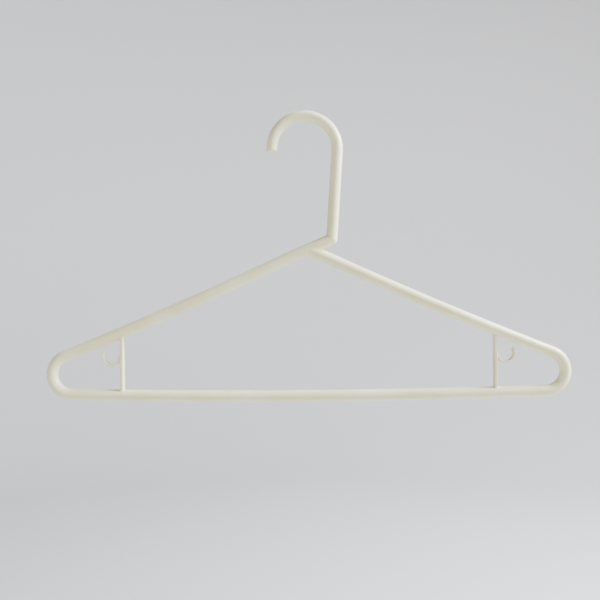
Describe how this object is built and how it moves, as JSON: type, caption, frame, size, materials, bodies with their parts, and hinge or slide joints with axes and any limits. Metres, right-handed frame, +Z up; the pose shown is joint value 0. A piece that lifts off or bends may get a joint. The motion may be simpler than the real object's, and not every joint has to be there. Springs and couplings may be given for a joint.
{
  "type": "clothes hanger",
  "caption": "Tubular plastic clothes hanger with a fixed open hook, sloped shoulders, a trouser bar, and small strap hooks on flat braces.",
  "frame": {"origin": "the hook's seat: the highest point inside the hook, where a rail carries the hanger", "axes": "+X along the hanger to the side that the hook's shank is on, +Y through its thickness from front to back, +Z up"},
  "size_m": [0.42, 0.009, 0.233],
  "materials": {
    "moulded_plastic": "satin, ivory white, very slightly translucent"
  },
  "bodies": {
    "root": {"hook_bow": "moulded_plastic", "hook_shank": "moulded_plastic", "neck": "moulded_plastic", "left_arm": "moulded_plastic", "right_arm": "moulded_plastic", "left_end_bend": "moulded_plastic", "right_end_bend": "moulded_plastic", "bottom_bar": "moulded_plastic", "left_brace": "moulded_plastic", "right_brace": "moulded_plastic", "left_strap_hook": "moulded_plastic", "right_strap_hook": "moulded_plastic"}
  },
  "joints": []
}
